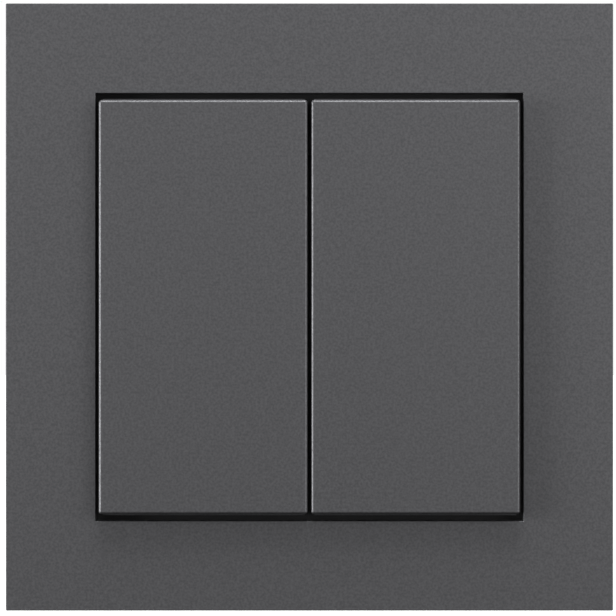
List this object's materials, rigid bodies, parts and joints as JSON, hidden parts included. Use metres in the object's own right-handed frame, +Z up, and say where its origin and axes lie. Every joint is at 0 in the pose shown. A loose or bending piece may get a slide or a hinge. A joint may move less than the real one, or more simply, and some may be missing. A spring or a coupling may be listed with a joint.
{
  "type": "rocker wall switch",
  "caption": "Flush wall switch with two side-by-side rockers in a square surround plate, on a steel support frame with fixing claws and screwless rear terminals.",
  "frame": {"origin": "centre of the switch on the wall plane, where the wall box's axis meets the wall", "axes": "+X to the right seen from the room, +Y into the wall box, +Z up; the rockers face -Y"},
  "size_m": [0.084, 0.0375, 0.084],
  "materials": {
    "anthracite_lacquer": "matt lacquer with a fine speckle",
    "black_plastic": "moulded, matt",
    "dark_plastic": "moulded, matt",
    "grey_plastic": "moulded, satin",
    "white_plastic": "moulded, satin",
    "orange_plastic": "moulded, satin",
    "zinc_steel": "zinc plated",
    "spring_steel": "bright drawn",
    "copper": "bright copper alloy",
    "brass": "bright",
    "silver": "polished silver contact"
  },
  "bodies": {
    "switch_base": {"surround_plate": "anthracite_lacquer", "plate_carrier": "black_plastic", "support_frame": "zinc_steel", "housing_front": "black_plastic", "housing_body": "dark_plastic", "rear_cover": "grey_plastic", "pivot_shaft": "spring_steel", "frame_rivet_upper_left": "spring_steel", "frame_rivet_upper_right": "spring_steel", "frame_rivet_lower_left": "spring_steel", "frame_rivet_lower_right": "spring_steel", "common_terminal_left": "brass", "common_terminal_right": "brass", "throw_terminal_left_upper": "brass", "throw_terminal_left_lower": "brass", "throw_terminal_right_upper": "brass", "throw_terminal_right_lower": "brass", "fixed_contact_left_upper": "silver", "fixed_contact_left_lower": "silver", "fixed_contact_right_upper": "silver", "fixed_contact_right_lower": "silver", "clamp_spring_left_upper": "spring_steel", "clamp_spring_left_common": "spring_steel", "clamp_spring_left_lower": "spring_steel", "clamp_spring_right_upper": "spring_steel", "clamp_spring_right_common": "spring_steel", "clamp_spring_right_lower": "spring_steel", "claw_pin_left": "spring_steel", "claw_pin_right": "spring_steel"},
    "rocker_left": {"rocker_left": "anthracite_lacquer", "toggle_left": "white_plastic", "plunger_spring_left": "spring_steel"},
    "plunger_left": {"plunger_left": "brass"},
    "contact_lever_left": {"contact_lever_left": "copper", "moving_contact_left_upper": "silver", "moving_contact_left_lower": "silver"},
    "claw_screw_left": {"claw_screw_left": "zinc_steel"},
    "claw_nut_left": {"claw_nut_left": "zinc_steel"},
    "claw_left": {"claw_left": "zinc_steel"},
    "release_lever_left": {"release_lever_left": "orange_plastic"},
    "rocker_right": {"rocker_right": "anthracite_lacquer", "toggle_right": "white_plastic", "plunger_spring_right": "spring_steel"},
    "plunger_right": {"plunger_right": "brass"},
    "contact_lever_right": {"contact_lever_right": "copper", "moving_contact_right_upper": "silver", "moving_contact_right_lower": "silver"},
    "claw_screw_right": {"claw_screw_right": "zinc_steel"},
    "claw_nut_right": {"claw_nut_right": "zinc_steel"},
    "claw_right": {"claw_right": "zinc_steel"},
    "release_lever_right": {"release_lever_right": "orange_plastic"}
  },
  "joints": [
    {"name": "rocker_left_tilt", "type": "hinge", "parent": "switch_base", "child": "rocker_left", "pos_m": [-0.00835, -0.001, 0], "axis": [1, 0, 0], "range_deg": [-3.5, 3.5]},
    {"name": "plunger_left_slide", "type": "slide", "parent": "rocker_left", "child": "plunger_left", "axis": [0, 1, 0], "range_m": [-0.0008, 0], "stiffness_N_per_m": 500, "deforming": ["plunger_spring_left"]},
    {"name": "contact_lever_left_tilt", "type": "hinge", "parent": "switch_base", "child": "contact_lever_left", "pos_m": [-0.00835, 0.011, 0], "axis": [1, 0, 0], "range_deg": [-5, 5]},
    {"name": "claw_screw_left_turn", "type": "hinge", "parent": "switch_base", "child": "claw_screw_left", "pos_m": [-0.024, 0, 0], "axis": [0, 1, 0], "range_deg": [0, 5910]},
    {"name": "claw_nut_left_slide", "type": "slide", "parent": "switch_base", "child": "claw_nut_left", "axis": [0, -1, 0], "range_m": [0, 0.0082]},
    {"name": "claw_left_swing", "type": "hinge", "parent": "switch_base", "child": "claw_left", "pos_m": [-0.02055, 0.003, 0], "axis": [0, 0, 1], "range_deg": [0, 18.1]},
    {"name": "release_lever_left_slide", "type": "slide", "parent": "switch_base", "child": "release_lever_left", "axis": [0, -1, 0], "range_m": [0, 0.0017], "stiffness_N_per_m": 800},
    {"name": "rocker_right_tilt", "type": "hinge", "parent": "switch_base", "child": "rocker_right", "pos_m": [0.00835, -0.001, 0], "axis": [1, 0, 0], "range_deg": [-3.5, 3.5]},
    {"name": "plunger_right_slide", "type": "slide", "parent": "rocker_right", "child": "plunger_right", "axis": [0, 1, 0], "range_m": [-0.0008, 0], "stiffness_N_per_m": 500, "deforming": ["plunger_spring_right"]},
    {"name": "contact_lever_right_tilt", "type": "hinge", "parent": "switch_base", "child": "contact_lever_right", "pos_m": [0.00835, 0.011, 0], "axis": [1, 0, 0], "range_deg": [-5, 5]},
    {"name": "claw_screw_right_turn", "type": "hinge", "parent": "switch_base", "child": "claw_screw_right", "pos_m": [0.024, 0, 0], "axis": [0, 1, 0], "range_deg": [0, 5910]},
    {"name": "claw_nut_right_slide", "type": "slide", "parent": "switch_base", "child": "claw_nut_right", "axis": [0, -1, 0], "range_m": [0, 0.0082]},
    {"name": "claw_right_swing", "type": "hinge", "parent": "switch_base", "child": "claw_right", "pos_m": [0.02055, 0.003, 0], "axis": [0, 0, -1], "range_deg": [0, 18.1]},
    {"name": "release_lever_right_slide", "type": "slide", "parent": "switch_base", "child": "release_lever_right", "axis": [0, -1, 0], "range_m": [0, 0.0017], "stiffness_N_per_m": 800}
  ],
  "couplings": [
    {"joint": "contact_lever_left_tilt", "follows": "rocker_left_tilt", "ratio": -1.4},
    {"joint": "claw_screw_left_turn", "follows": "claw_nut_left_slide", "rad_per_m": 12566},
    {"joint": "claw_left_swing", "follows": "claw_nut_left_slide", "rad_per_m": 38.3},
    {"joint": "contact_lever_right_tilt", "follows": "rocker_right_tilt", "ratio": -1.4},
    {"joint": "claw_screw_right_turn", "follows": "claw_nut_right_slide", "rad_per_m": 12566},
    {"joint": "claw_right_swing", "follows": "claw_nut_right_slide", "rad_per_m": 38.3}
  ]
}
